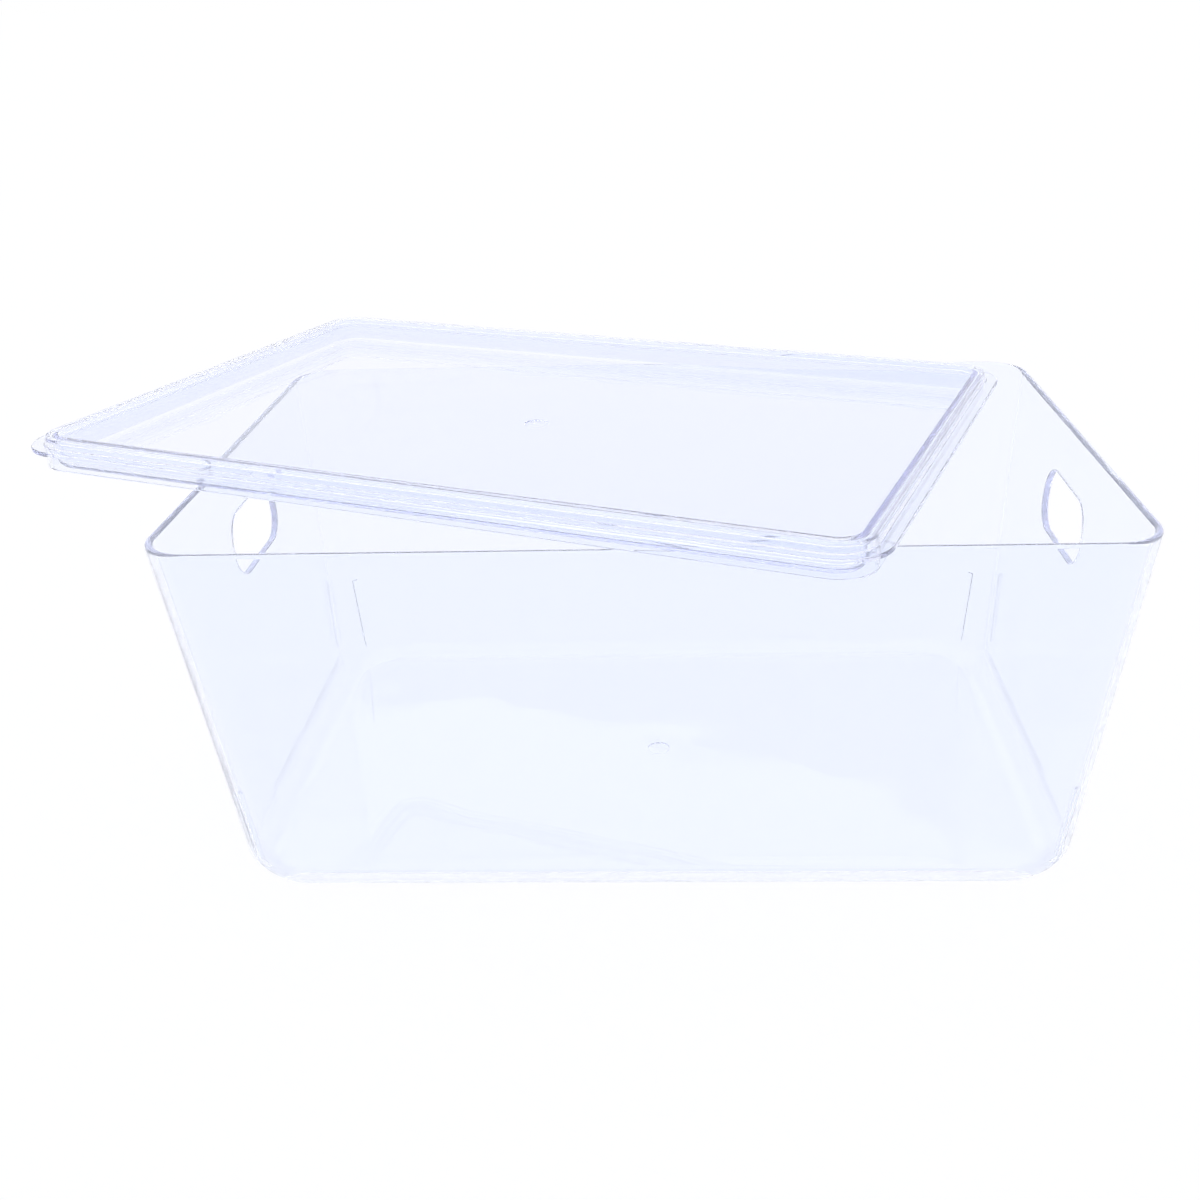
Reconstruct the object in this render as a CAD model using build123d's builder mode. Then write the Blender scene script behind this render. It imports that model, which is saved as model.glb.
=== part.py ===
from build123d import *
import math
import os

os.makedirs("parts", exist_ok=True)

# Clear storage box: a drafted bin with a hand hole in each end wall, and a
# loose lid with a raised rib round a sunk panel, laid askew across the rim.
# Origin at the middle of the bin's underside, +Z up, X along the length.

# Bin
bin_length = 360.0          # over the rim, end wall to end wall
bin_width = 236.0           # over the rim, front wall to back wall
bin_height = 154.5
wall = 2.8
floor_thickness = 3.0
draft = 7.2                 # how far each wall leans in from rim to base
rim_corner = 19.0           # outer corner radius at the rim
base_corner = 33.0          # outer corner radius at the base
base_round = 13.5           # outer rounding between walls and base
floor_round = 13.5          # inner rounding between walls and floor
rim_round_share = 0.25      # of the wall, on both edges of the rim

# Hand hole in each end wall
hole_width = 58.5
hole_height = 27.0
hole_corner = 12.0
hole_drop = 22.3            # from the rim down to the top of the hole

# Upright rib inside each lower corner, its flat top a small ledge
pad_width = 3.0
pad_depth = 1.0
pad_height = 47.0           # from the underside up to the ledge

# Moulding gate marks, shallow round dimples
gate_radius = 5.2
gate_depth = 0.5

# Lid
lid_clearance = 1.2         # between the lid's plug and the inside of the rim
plug_drop = 7.7             # from the flange's underside to the lid's underside
skirt_wall = 1.8            # across the plug's skirt at its bottom edge
skirt_round = 0.6           # rounding on both sides of that edge
flange_thickness = 1.7
flange_reach = 0.8          # how far the flange stands past the rim
flange_round = 0.6          # rounding on the flange's upper edge
rib_inset = 1.45            # from the plug's outside to the rib's top, outside
rib_width = 5.1             # across the rib's top
rib_rise = 3.3              # from the flange's top to the rib's top
rib_flare = 1.0             # how far the rib's outer side leans out to its foot
foot_round = 0.5            # hollow rounding from the rib's foot to the flange
rib_wall = 1.9              # between the hollow under the rib and the sunk panel
rib_roof = 2.2              # over the hollow under the rib
hollow_taper = 1.3          # how far the hollow's outer side leans in to its top
hollow_round = 0.6          # rounding along the top of the hollow
lip_round = 0.5             # rounding on the edges of the rib's top
panel_thickness = 2.2
panel_round = 2.4           # rounding where the panel meets the rib

# Where the lid lies: its middle and its turn about the vertical
lid_shift_x = -51.0
lid_shift_y = 20.3
lid_turn = -21.2

overrun = 5.0               # how far a cut runs past the face that it opens

# Worked out from the sizes above
base_length = bin_length - 2 * draft
base_width = bin_width - 2 * draft
lean = draft / bin_height


def inset_at(height):
    """How far the wall stands in from the rim's outline at a height."""
    return lean * (bin_height - height)


def corner_at(height):
    """Outer corner radius at a height."""
    return base_corner + (rim_corner - base_corner) * height / bin_height


# The bin's outside: a rounded rectangle that widens from base to rim.
with BuildPart() as shell:
    with BuildSketch(Plane.XY):
        RectangleRounded(base_length, base_width, base_corner)
    with BuildSketch(Plane.XY.offset(bin_height)):
        RectangleRounded(bin_length, bin_width, rim_corner)
    loft(ruled=True)
    fillet(shell.edges().group_by(Axis.Z)[0], base_round)

# One corner rib, running down the inside of the corner, mirrored to all four.
# The part of it that lies in the wall is lost in the wall.
pad_foot = floor_thickness
with BuildPart() as pads:
    for height in (pad_foot, pad_height):
        radius = corner_at(height)
        corner_x = bin_length / 2 - inset_at(height) - radius * (1 - math.cos(math.pi / 4))
        corner_y = bin_width / 2 - inset_at(height) - radius * (1 - math.sin(math.pi / 4))
        reach = (wall + pad_depth) * math.cos(math.pi / 4)
        spot = (corner_x - reach, corner_y - reach, height)
        with BuildSketch(Plane(origin=spot, x_dir=(1, 1, 0), z_dir=(0, 0, 1))):
            Rectangle(wall + pad_depth + base_round, pad_width, align=(Align.MIN, Align.CENTER))
    loft(ruled=True)
    mirror(about=Plane.YZ)
    mirror(about=Plane.XZ)

# The bin's inside, with the corner ribs left standing.
with BuildPart() as hollow:
    for height in (floor_thickness, bin_height):
        length = bin_length - 2 * inset_at(height) - 2 * wall
        width = bin_width - 2 * inset_at(height) - 2 * wall
        with BuildSketch(Plane.XY.offset(height)):
            RectangleRounded(length, width, corner_at(height) - wall)
    loft(ruled=True)
    fillet(hollow.edges().group_by(Axis.Z)[0], floor_round)
    add(pads.part, mode=Mode.SUBTRACT)

with BuildPart() as bin_part:
    add(shell.part)
    add(hollow.part, mode=Mode.SUBTRACT)
    with BuildSketch(Plane.YZ):
        with Locations((0, bin_height - hole_drop - hole_height / 2)):
            RectangleRounded(hole_width, hole_height, hole_corner)
    extrude(amount=bin_length / 2 + overrun, both=True, mode=Mode.SUBTRACT)
    with BuildSketch(Plane.XY.offset(floor_thickness)):
        Circle(gate_radius)
    extrude(amount=-gate_depth, mode=Mode.SUBTRACT)
    rim = bin_part.faces().sort_by(Axis.Z)[-1]
    fillet(rim.edges(), wall * rim_round_share)

bin_part.part.label = "bin"
export_step(bin_part.part, "parts/bin.step")

# The lid, from its underside up: plug, flange, rib, then the sunk panel. The
# rib and the plug's skirt are hollow from below.
plug_length = bin_length - 2 * wall - 2 * lid_clearance
plug_width = bin_width - 2 * wall - 2 * lid_clearance
plug_corner = rim_corner - wall - lid_clearance
flange_length = bin_length + 2 * flange_reach
flange_width = bin_width + 2 * flange_reach
flange_corner = rim_corner + flange_reach
rib_length = plug_length - 2 * rib_inset
rib_width_over = plug_width - 2 * rib_inset
rib_corner = plug_corner - rib_inset
flange_top = plug_drop + flange_thickness
rib_top = flange_top + rib_rise
recess_depth = rib_top - panel_thickness

turn = math.radians(lid_turn)
lid_plane = Plane(
    origin=(lid_shift_x, lid_shift_y, bin_height),
    x_dir=(math.cos(turn), math.sin(turn), 0),
    z_dir=(0, 0, 1),
)

with BuildPart() as plug:
    with BuildSketch(lid_plane):
        RectangleRounded(plug_length, plug_width, plug_corner)
    extrude(amount=flange_top)

# The rib's outer side leans out to its foot.
with BuildPart() as rib:
    with BuildSketch(lid_plane.offset(flange_top)):
        RectangleRounded(
            rib_length + 2 * rib_flare,
            rib_width_over + 2 * rib_flare,
            rib_corner + rib_flare,
        )
    with BuildSketch(lid_plane.offset(rib_top)):
        RectangleRounded(rib_length, rib_width_over, rib_corner)
    loft(ruled=True)

# The flange with the rib on it. Its ledge is the flange's top outside the rib.
with BuildPart() as collar:
    with BuildSketch(lid_plane.offset(plug_drop)):
        RectangleRounded(flange_length, flange_width, flange_corner)
    extrude(amount=flange_thickness)
    add(rib.part)
    ledge = collar.faces().filter_by(Axis.Z).group_by(Axis.Z)[-2].sort_by(SortBy.AREA)[-1]
    fillet(ledge.inner_wires()[0].edges(), foot_round)
    ledge = collar.faces().filter_by(Axis.Z).group_by(Axis.Z)[-2].sort_by(SortBy.AREA)[-1]
    fillet(ledge.outer_wire().edges(), flange_round)

with BuildPart() as recess:
    with BuildSketch(lid_plane.offset(panel_thickness)):
        RectangleRounded(
            rib_length - 2 * rib_width,
            rib_width_over - 2 * rib_width,
            rib_corner - rib_width,
        )
    extrude(amount=recess_depth + overrun)
    fillet(recess.edges().group_by(Axis.Z)[0], panel_round)

# The core inside the hollow: its lower edge bends round in step with the
# recess's, so that the lid's wall keeps its thickness from rib to panel.
hollow_top = rib_top - rib_roof
core_inset = rib_inset + rib_width - rib_wall
with BuildPart() as core:
    with BuildSketch(lid_plane):
        RectangleRounded(
            plug_length - 2 * core_inset,
            plug_width - 2 * core_inset,
            plug_corner - core_inset,
        )
    extrude(amount=hollow_top)
    fillet(core.edges().group_by(Axis.Z)[0], panel_round + rib_wall)

# The hollow that runs round under the rib, open from below.
with BuildPart() as under_rib:
    for height, inset in ((0, skirt_wall), (hollow_top, skirt_wall + hollow_taper)):
        with BuildSketch(lid_plane.offset(height)):
            RectangleRounded(
                plug_length - 2 * inset,
                plug_width - 2 * inset,
                plug_corner - inset,
            )
    loft(ruled=True)
    add(core.part, mode=Mode.SUBTRACT)
    fillet(under_rib.edges().group_by(Axis.Z)[-1], hollow_round)

with BuildPart() as lid:
    add(plug.part)
    add(collar.part)
    add(recess.part, mode=Mode.SUBTRACT)
    add(under_rib.part, mode=Mode.SUBTRACT)
    fillet(lid.edges().group_by(Axis.Z)[-1], lip_round)
    skirt_edge = lid.faces().filter_by(Axis.Z).group_by(Axis.Z)[0].sort_by(SortBy.AREA)[0]
    fillet(skirt_edge.edges(), skirt_round)
    with BuildSketch(lid_plane.offset(panel_thickness)):
        Circle(gate_radius)
    extrude(amount=-gate_depth, mode=Mode.SUBTRACT)

lid.part.label = "lid"
export_step(lid.part, "parts/lid.step")
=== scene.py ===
import math

import bmesh
import bpy
from mathutils import Matrix, Vector


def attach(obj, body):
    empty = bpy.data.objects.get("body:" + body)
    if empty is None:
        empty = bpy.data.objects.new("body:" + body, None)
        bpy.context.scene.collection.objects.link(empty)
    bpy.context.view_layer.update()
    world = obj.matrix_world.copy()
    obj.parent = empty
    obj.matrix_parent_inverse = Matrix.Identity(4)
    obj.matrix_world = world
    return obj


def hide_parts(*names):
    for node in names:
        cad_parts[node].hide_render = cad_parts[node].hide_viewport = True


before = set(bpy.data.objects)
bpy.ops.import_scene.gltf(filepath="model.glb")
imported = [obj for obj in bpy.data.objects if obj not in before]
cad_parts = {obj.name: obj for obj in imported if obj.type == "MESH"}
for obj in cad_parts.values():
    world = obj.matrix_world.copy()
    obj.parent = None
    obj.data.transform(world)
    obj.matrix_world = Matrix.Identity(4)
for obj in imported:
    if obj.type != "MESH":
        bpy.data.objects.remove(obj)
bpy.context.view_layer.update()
scene = bpy.context.scene

# The bin
# It is one injection moulding in clear, faintly blue plastic: a deep tub with
# drafted walls, rounded corners, an open rim and a hand hole through each end
# wall. Its core left a thin upright rib with a flat top in each lower corner.
MM = 0.001
bin_length, bin_width, bin_height = 360.0 * MM, 236.0 * MM, 154.5 * MM
wall, floor_thickness, draft = 2.8 * MM, 3.0 * MM, 7.2 * MM
rim_corner, base_corner, base_round = 19.0 * MM, 33.0 * MM, 13.5 * MM
rim_round = 1.35 * MM
floor_round, floor_corner = 12.0 * MM, 9.0 * MM


def corner_loop(length, width, radius, steps=28):
    """A rounded rectangle as one loop of (x, y), the same count whatever its size."""
    loop = []
    for quarter, (sx, sy) in enumerate(((1, 1), (-1, 1), (-1, -1), (1, -1))):
        for step in range(steps + 1):
            angle = (quarter + step / steps) * math.pi / 2
            loop.append((sx * (length / 2 - radius) + radius * math.cos(angle),
                         sy * (width / 2 - radius) + radius * math.sin(angle)))
    return loop


def wall_at(height):
    """How far the outer face leans in at a height, and its corner radius there."""
    share_up = height / bin_height
    return draft * (1 - share_up), base_corner + (rim_corner - base_corner) * share_up


def bin_loop(height, inward, share=0):
    """The bin's outline at a height, moved in from the outer face by so much.
    A share of its corner radius can be that of the flat floor's corner."""
    lean_in, radius = wall_at(height)
    lean_in += inward
    radius -= inward
    radius += share * (floor_corner - radius)
    loop = corner_loop(bin_length - 2 * lean_in, bin_width - 2 * lean_in, radius)
    return [(x, y, height) for x, y in loop]


def pick(piece):
    """Select this piece alone and make it the active one."""
    bpy.ops.object.select_all(action="DESELECT")
    bpy.context.view_layer.objects.active = piece
    piece.select_set(True)


def pull_up(name, loops):
    """Start from a flat disc on the first loop and extrude its cap through the rest."""
    bpy.ops.object.select_all(action="DESELECT")
    x, y, z = loops[0][0]
    bpy.ops.mesh.primitive_circle_add(vertices=len(loops[0]), radius=math.hypot(x, y),
                                      fill_type="NGON", location=(0, 0, z))
    piece = bpy.context.object
    piece.name = piece.data.name = name
    bpy.ops.object.transform_apply(location=True, rotation=True, scale=True)
    bpy.ops.object.mode_set(mode="EDIT")
    bpy.ops.mesh.select_all(action="SELECT")
    for count, loop in enumerate(loops):
        if count:
            bpy.ops.mesh.extrude_region_move()
        mesh = bmesh.from_edit_mesh(piece.data)
        cap = [face for face in mesh.faces if face.select][0]
        for corner, place in zip(cap.verts, loop):
            corner.co = place
        bmesh.update_edit_mesh(piece.data)
    bpy.ops.mesh.select_all(action="SELECT")
    bpy.ops.mesh.normals_make_consistent(inside=False)
    bpy.ops.object.mode_set(mode="OBJECT")
    return piece


def combine(piece, other, operation):
    """Cut the other piece out of this one, or weld it on, and use it up."""
    tool = piece.modifiers.new("join", "BOOLEAN")
    tool.operation, tool.object, tool.solver = operation, other, "EXACT"
    pick(piece)
    bpy.ops.object.modifier_apply(modifier=tool.name)
    bpy.data.objects.remove(other)


def polish(piece, crisp_from=32):
    """Smooth the rounded surfaces, keep the flats flat and the edges crisp that
    turn by more than so many degrees."""
    pick(piece)
    bpy.ops.object.mode_set(mode="EDIT")
    bpy.ops.mesh.select_all(action="SELECT")
    bpy.ops.mesh.remove_doubles(threshold=0.01 * MM)
    bpy.ops.object.mode_set(mode="OBJECT")
    bpy.ops.object.shade_smooth_by_angle(angle=math.radians(crisp_from))
    flats = piece.modifiers.new("flats", "WEIGHTED_NORMAL")
    flats.weight, flats.keep_sharp = 80, True
    bpy.ops.object.modifier_apply(modifier=flats.name)


def quarter_turn(steps, first=0):
    """Angles in equal steps up to a right angle."""
    return [step / steps * math.pi / 2 for step in range(first, steps + 1)]


# from the middle of the underside round the base, up the outside, over the rim,
# down the inside and round onto the flat floor
loops = []
for angle in quarter_turn(12):
    loops.append(bin_loop(base_round * (1 - math.cos(angle)), base_round * (1 - math.sin(angle))))
loops.append(bin_loop(bin_height - rim_round, 0))
for angle in quarter_turn(4, first=1):
    loops.append(bin_loop(bin_height - rim_round * (1 - math.sin(angle)),
                          rim_round * (1 - math.cos(angle))))
for angle in quarter_turn(4):
    loops.append(bin_loop(bin_height - rim_round * (1 - math.cos(angle)),
                          wall - rim_round * (1 - math.sin(angle))))
for angle in quarter_turn(16):
    inward = floor_round * (1 - math.cos(angle))
    loops.append(bin_loop(floor_thickness + floor_round * (1 - math.sin(angle)), wall + inward,
                          inward / floor_round))
tub = pull_up("bin_moulding", loops)

# the corner pads: each is a thin upright block, flat on top, whose root lies in
# the wall and whose foot lies in the rounding of the floor
pad_width, pad_depth, pad_height = 3.0 * MM, 1.0 * MM, 47.0 * MM
pad_foot, pad_edge = 9.0 * MM, 0.35 * MM
pad_root_share = 0.6
for sx, sy in ((1, 1), (-1, 1), (-1, -1), (1, -1)):
    corners = []
    for height in (pad_foot, pad_height):
        lean_in, radius = wall_at(height)
        middle = Vector((bin_length / 2 - lean_in - radius, bin_width / 2 - lean_in - radius))
        along = Vector((1, 1)).normalized()
        side = Vector((-1, 1)).normalized()
        near, far = radius - wall - pad_depth, radius - wall * pad_root_share
        for reach, across in ((near, -1), (far, -1), (far, 1), (near, 1)):
            spot = middle + along * reach + side * across * pad_width / 2
            corners.append((spot.x * sx, spot.y * sy, height))
    bpy.ops.object.select_all(action="DESELECT")
    bpy.ops.mesh.primitive_cube_add(size=pad_width)
    pad = bpy.context.object
    order = {(False, False): 0, (True, False): 1, (True, True): 2, (False, True): 3}
    for vertex in pad.data.vertices:
        above = 4 if vertex.co.z > 0 else 0
        vertex.co = corners[order[(vertex.co.x > 0, vertex.co.y > 0)] + above]
    bpy.ops.object.mode_set(mode="EDIT")
    bpy.ops.mesh.select_all(action="SELECT")
    bpy.ops.mesh.normals_make_consistent(inside=False)
    bpy.ops.mesh.bevel(offset=pad_edge, segments=3, affect="EDGES")
    bpy.ops.object.mode_set(mode="OBJECT")
    combine(tub, pad, "UNION")

# the hand holes: one rounded slot cut through both end walls
hole_width, hole_height, hole_corner, hole_drop = 58.5 * MM, 27.0 * MM, 12.0 * MM, 22.3 * MM
hole_middle = bin_height - hole_drop - hole_height / 2
slot_reach = 200 * MM
hole_outline = corner_loop(hole_width, hole_height, hole_corner, steps=16)
slot = pull_up("slot", [[(end * slot_reach, x, y + hole_middle) for x, y in hole_outline]
                        for end in (-1, 1)])
combine(tub, slot, "DIFFERENCE")

# the gate: a shallow round dimple where the melt entered
gate_radius, gate_depth = 5.2 * MM, 0.5 * MM


def gate_mark(piece, height):
    """Sink the dimple into a flat face at this height, on the piece's own middle."""
    bpy.ops.object.select_all(action="DESELECT")
    bpy.ops.mesh.primitive_cylinder_add(vertices=64, radius=gate_radius, depth=2 * gate_depth,
                                        location=(0, 0, height))
    combine(piece, bpy.context.object, "DIFFERENCE")


gate_mark(tub, floor_thickness)

# the edges of the hand holes are broken slightly
hole_edge = 0.3 * MM
sharp_from = math.radians(60)
end_wall_share, hole_share = 0.4, 0.51
pick(tub)
bpy.ops.object.mode_set(mode="EDIT")
mesh = bmesh.from_edit_mesh(tub.data)
bpy.ops.mesh.select_all(action="DESELECT")
for edge in mesh.edges:
    ends = [vertex.co for vertex in edge.verts]
    if len(edge.link_faces) != 2 or edge.calc_face_angle() < sharp_from:
        continue
    edge.select = all(abs(end.x) > bin_length * end_wall_share
                      and abs(end.y) < hole_width * hole_share
                      and abs(end.z - hole_middle) < hole_height * hole_share for end in ends)
mesh.select_flush_mode()
bmesh.update_edit_mesh(tub.data)
bpy.ops.mesh.bevel(offset=hole_edge, segments=3, affect="EDGES")
bpy.ops.object.mode_set(mode="OBJECT")
polish(tub)

# what a polished mould leaves on the plastic: slow waves where it cooled, and
# a faint haze of fine rubbing marks from being stacked and handled
skin = bpy.data.node_groups.new("moulded_skin", "ShaderNodeTree")
for title, kind, way in (
    ("Wave Size", "NodeSocketFloat", "INPUT"),
    ("Wave Height", "NodeSocketFloat", "INPUT"),
    ("Rubbing", "NodeSocketFloat", "INPUT"),
    ("Normal", "NodeSocketVector", "OUTPUT"),
    ("Roughness", "NodeSocketFloat", "OUTPUT"),
):
    skin.interface.new_socket(name=title, in_out=way, socket_type=kind)
nodes, links = skin.nodes, skin.links
given, result = nodes.new("NodeGroupInput"), nodes.new("NodeGroupOutput")
place = nodes.new("ShaderNodeTexCoord")
waves = nodes.new("ShaderNodeTexNoise")
waves.inputs["Detail"].default_value = 1.0
links.new(place.outputs["Object"], waves.inputs["Vector"])
links.new(given.outputs["Wave Size"], waves.inputs["Scale"])
bump = nodes.new("ShaderNodeBump")
bump.inputs["Strength"].default_value = 1.0
links.new(given.outputs["Wave Height"], bump.inputs["Distance"])
links.new(waves.outputs["Fac"], bump.inputs["Height"])
links.new(bump.outputs["Normal"], result.inputs["Normal"])
stretch = nodes.new("ShaderNodeMapping")
stretch.inputs["Scale"].default_value = (40, 700, 260)
stretch.inputs["Rotation"].default_value = (0.3, 0.2, 0.7)
marks = nodes.new("ShaderNodeTexNoise")
marks.inputs["Scale"].default_value = 1.0
marks.inputs["Detail"].default_value = 3.0
cut = nodes.new("ShaderNodeMapRange")
cut.inputs["From Min"].default_value = 0.60
cut.inputs["From Max"].default_value = 0.78
haze = nodes.new("ShaderNodeMath")
haze.operation = "MULTIPLY"
links.new(place.outputs["Object"], stretch.inputs["Vector"])
links.new(stretch.outputs["Vector"], marks.inputs["Vector"])
links.new(marks.outputs["Fac"], cut.inputs["Value"])
links.new(cut.outputs["Result"], haze.inputs[0])
links.new(given.outputs["Rubbing"], haze.inputs[1])
links.new(haze.outputs[0], result.inputs["Roughness"])


def clear_plastic(name, tint, clearness, depth_tint, wave_size, wave_height, rubbing):
    """Polished clear moulded plastic: light bends through it, light that runs far
    along its walls turns blue, and shadow rays pass so that the floor stays pale."""
    material = bpy.data.materials.new(name)
    material.use_nodes = True
    nodes, links = material.node_tree.nodes, material.node_tree.links
    body = nodes["Principled BSDF"]
    body.inputs["Base Color"].default_value = tint
    body.inputs["IOR"].default_value = 1.49
    body.inputs["Transmission Weight"].default_value = clearness
    surface = nodes.new("ShaderNodeGroup")
    surface.node_tree = skin
    surface.inputs["Wave Size"].default_value = wave_size
    surface.inputs["Wave Height"].default_value = wave_height
    surface.inputs["Rubbing"].default_value = rubbing
    links.new(surface.outputs["Normal"], body.inputs["Normal"])
    links.new(surface.outputs["Roughness"], body.inputs["Roughness"])
    through = nodes.new("ShaderNodeBsdfTransparent")
    through.inputs["Color"].default_value = (0.985, 0.987, 0.992, 1)
    path = nodes.new("ShaderNodeLightPath")
    either = nodes.new("ShaderNodeMath")
    either.operation = "MAXIMUM"
    mix = nodes.new("ShaderNodeMixShader")
    links.new(path.outputs["Is Shadow Ray"], either.inputs[0])
    links.new(path.outputs["Is Diffuse Ray"], either.inputs[1])
    links.new(either.outputs[0], mix.inputs[0])
    links.new(body.outputs[0], mix.inputs[1])
    links.new(through.outputs[0], mix.inputs[2])
    links.new(mix.outputs[0], nodes["Material Output"].inputs["Surface"])
    depth = nodes.new("ShaderNodeVolumeAbsorption")
    depth.inputs["Color"].default_value = (0.66, 0.68, 0.99, 1)
    depth.inputs["Density"].default_value = depth_tint
    links.new(depth.outputs[0], nodes["Material Output"].inputs["Volume"])
    return material


tub.data.materials.append(clear_plastic(
    "bin_clear", (0.945, 0.966, 1, 1), clearness=0.935, depth_tint=1.2,
    wave_size=14, wave_height=0.4 * MM, rubbing=0.05))
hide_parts("bin")
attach(tub, "bin")

# The lid
# It is a second moulding in the same plastic: a skirt that drops inside the rim,
# a thin flange that rests on it, and a raised rib, hollow from below, round a
# sunk panel. It lies loose and askew, its underside on the rim's edge.
plug_length, plug_width = 352.0 * MM, 228.0 * MM
plug_corner, plug_drop = 15.0 * MM, 7.7 * MM
skirt_wall, skirt_round = 1.8 * MM, 0.6 * MM
flange_thickness, flange_out = 1.7 * MM, 4.75 * MM
flange_round, flange_under = 0.6 * MM, 0.25 * MM
rib_inset, rib_width, rib_rise, rib_flare = 1.45 * MM, 5.1 * MM, 3.3 * MM, 1.0 * MM
rib_wall, rib_roof, hollow_taper, hollow_round = 1.9 * MM, 2.2 * MM, 1.3 * MM, 0.6 * MM
lip_round, foot_round = 0.5 * MM, 0.5 * MM
panel_thickness, panel_round = 2.2 * MM, 2.4 * MM
flange_top = plug_drop + flange_thickness
lid_height = flange_top + rib_rise
lid_shift_x, lid_shift_y, lid_turn = -51.0 * MM, 20.3 * MM, math.radians(-21.2)
lid_place = (Matrix.Translation((lid_shift_x, lid_shift_y, bin_height))
             @ Matrix.Rotation(lid_turn, 4, "Z"))


def lid_loop(outward, height):
    """The plug's outline moved out by so much, at a height over the underside."""
    loop = corner_loop(plug_length + 2 * outward, plug_width + 2 * outward, plug_corner + outward)
    return [(x, y, height) for x, y in loop]


def turn_round(middle_out, middle_up, radius, start, end, steps=5):
    """Loops along an arc of the lid's section, angles in degrees, 0 outward and 90 up."""
    arc = []
    for step in range(steps + 1):
        angle = math.radians(start + (end - start) * step / steps)
        arc.append(lid_loop(middle_out + radius * math.cos(angle),
                            middle_up + radius * math.sin(angle)))
    return arc


lean_angle = math.degrees(math.atan2(rib_flare, rib_rise))
foot_out = rib_flare - rib_inset
bevel_reach = 1 / math.tan(math.radians(90 + lean_angle) / 2)
core_out, bend_round = -rib_inset - rib_width + rib_wall, panel_round + rib_wall
hollow_top, hollow_out = lid_height - rib_roof, -skirt_wall - hollow_taper
# from the underside of the panel round the bend, up the hollow and down to the
# skirt's edge, then outside by the flange and the rib and into the sunk panel
loops = turn_round(core_out - bend_round, bend_round, bend_round, -90, 0, 8)
loops += turn_round(core_out + hollow_round, hollow_top - hollow_round, hollow_round, 180, 90, 4)
loops += turn_round(hollow_out - hollow_round, hollow_top - hollow_round, hollow_round, 90, 0, 4)
loops += turn_round(skirt_round - skirt_wall, skirt_round, skirt_round, 180, 270, 4)
loops += turn_round(-skirt_round, skirt_round, skirt_round, -90, 0, 4)
loops += [lid_loop(0, plug_drop)]
loops += turn_round(flange_out - flange_under, plug_drop + flange_under, flange_under, -90, 0, 3)
loops += turn_round(flange_out - flange_round, flange_top - flange_round, flange_round, 0, 90)
loops += turn_round(foot_out + foot_round * bevel_reach, flange_top + foot_round, foot_round,
                    270, 180 + lean_angle)
loops += turn_round(-rib_inset - lip_round * bevel_reach, lid_height - lip_round, lip_round,
                    lean_angle, 90)
loops += turn_round(-rib_inset - rib_width + lip_round, lid_height - lip_round, lip_round, 90, 180)
loops += turn_round(-rib_inset - rib_width - panel_round, panel_thickness + panel_round,
                    panel_round, 0, -90, 8)
cover = pull_up("lid_moulding", loops)
gate_mark(cover, panel_thickness)
cover.data.transform(lid_place)
polish(cover)
cover.data.materials.append(clear_plastic(
    "lid_clear", (0.935, 0.952, 1, 1), clearness=0.97, depth_tint=3.2,
    wave_size=20, wave_height=0.3 * MM, rubbing=0.05))
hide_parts("lid")
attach(cover, "lid")

# The floor
# It is a plain sheet of white paper under and round the box, a hair below its
# underside. Seen from the camera it is mostly its own white, with no shadow edge.
floor_size, floor_gap = 60, 0.4 * MM


def seen_directly(nodes, links):
    """1 for rays from the camera, straight or by way of clear plastic, else 0."""
    path = nodes.new("ShaderNodeLightPath")
    seen = path.outputs["Is Camera Ray"]
    for ray in ("Is Transmission Ray", "Is Glossy Ray"):
        either = nodes.new("ShaderNodeMath")
        either.operation = "MAXIMUM"
        links.new(seen, either.inputs[0])
        links.new(path.outputs[ray], either.inputs[1])
        seen = either.outputs[0]
    return seen


bpy.ops.object.select_all(action="DESELECT")
bpy.ops.mesh.primitive_plane_add(size=floor_size, location=(0, 0, -floor_gap))
floor = bpy.context.object
floor.name = "floor"
paper = bpy.data.materials.new("white_paper")
paper.use_nodes = True
nodes, links = paper.node_tree.nodes, paper.node_tree.links
body = nodes["Principled BSDF"]
body.inputs["Base Color"].default_value = (1, 1, 1, 1)
body.inputs["Roughness"].default_value = 1
body.inputs["Specular IOR Level"].default_value = 0
glow = nodes.new("ShaderNodeEmission")
share = nodes.new("ShaderNodeMath")
share.operation = "MULTIPLY"
share.inputs[1].default_value = 0.8
mix = nodes.new("ShaderNodeMixShader")
links.new(seen_directly(nodes, links), share.inputs[0])
links.new(share.outputs[0], mix.inputs[0])
links.new(body.outputs[0], mix.inputs[1])
links.new(glow.outputs[0], mix.inputs[2])
links.new(mix.outputs[0], nodes["Material Output"].inputs["Surface"])
floor.data.materials.append(paper)

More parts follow.
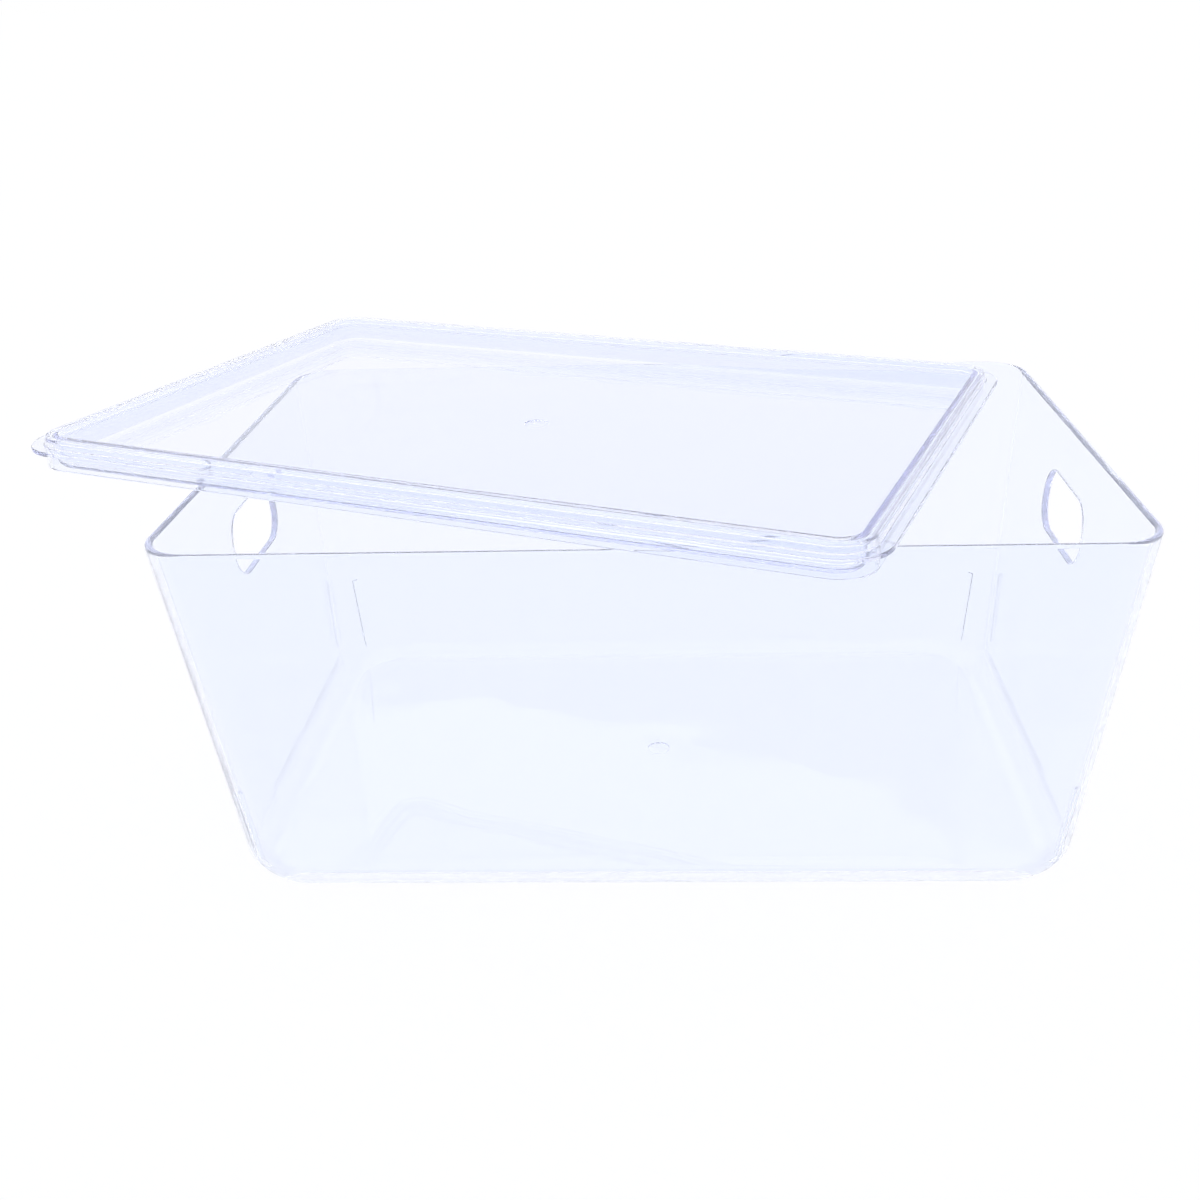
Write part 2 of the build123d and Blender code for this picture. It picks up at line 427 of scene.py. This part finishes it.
# The light
# A pale room lights the box from all round. Where the camera looks into it, it
# is white low down and a little darker and bluer overhead.
world = bpy.data.worlds.new("studio")
scene.world = world
world.use_nodes = True
nodes, links = world.node_tree.nodes, world.node_tree.links
room = nodes["Background"]
room.inputs["Color"].default_value = (0.94, 0.96, 1.18, 1)
room.inputs["Strength"].default_value = 0.8
white = nodes.new("ShaderNodeBackground")
white.inputs["Strength"].default_value = 1.0
where = nodes.new("ShaderNodeTexCoord")
split = nodes.new("ShaderNodeSeparateXYZ")
low_down = nodes.new("ShaderNodeMapRange")
low_down.inputs["From Min"].default_value = 0.75
low_down.inputs["From Max"].default_value = 0.2
wash = nodes.new("ShaderNodeMix")
wash.data_type = "RGBA"
wash.inputs["A"].default_value = (0.74, 0.77, 1, 1)
wash.inputs["B"].default_value = (1, 1, 1, 1)
links.new(where.outputs["Generated"], split.inputs[0])
links.new(split.outputs["Z"], low_down.inputs["Value"])
links.new(low_down.outputs["Result"], wash.inputs["Factor"])
links.new(wash.outputs["Result"], white.inputs["Color"])
mix = nodes.new("ShaderNodeMixShader")
links.new(seen_directly(nodes, links), mix.inputs[0])
links.new(room.outputs[0], mix.inputs[1])
links.new(white.outputs[0], mix.inputs[2])
links.new(mix.outputs[0], nodes["World Output"].inputs["Surface"])

# one very wide soft lamp from above, a little from the left and from behind
bpy.ops.object.select_all(action="DESELECT")
bpy.ops.object.light_add(type="SUN", rotation=(math.radians(-12), math.radians(-10), 0))
lamp = bpy.context.object
lamp.name = "soft_box"
lamp.data.angle = math.radians(95)
lamp.data.energy = 0.8

# light runs a long way inside the clear walls before it comes out
scene.cycles.max_bounces = 90
scene.cycles.transmission_bounces = 90
scene.cycles.glossy_bounces = 90
scene.cycles.transparent_max_bounces = 64

# The camera
# It stands low in front of the box and looks down across its rim, as in the
# photograph. Its lens is given in pixels of a picture 1200 pixels wide.
yaw, pitch, roll = 0.04252, 0.52398, 0.02935
eye = Vector((13.352, -519.32, 323.523)) * MM
picture, sensor, focal = 1200, 36, 1265.19
middle_x, middle_y = 639.476, 710.43
ahead = Vector((-math.sin(yaw) * math.cos(pitch), math.cos(yaw) * math.cos(pitch),
                -math.sin(pitch)))
right = Vector((math.cos(yaw), math.sin(yaw), 0))
down = ahead.cross(right)
right, down = (math.cos(roll) * right + math.sin(roll) * down,
               math.cos(roll) * down - math.sin(roll) * right)
bpy.ops.object.camera_add()
camera = bpy.context.object
camera.name = "camera"
turn = Matrix((right, -down, -ahead)).transposed().to_4x4()
turn.translation = eye
camera.matrix_world = turn
camera.data.lens = focal * sensor / picture
camera.data.shift_x = (picture / 2 - middle_x) / picture
camera.data.shift_y = (middle_y - picture / 2) / picture
camera.data.clip_start = 10 * MM
scene.camera = camera
scene.view_settings.view_transform = "Standard"
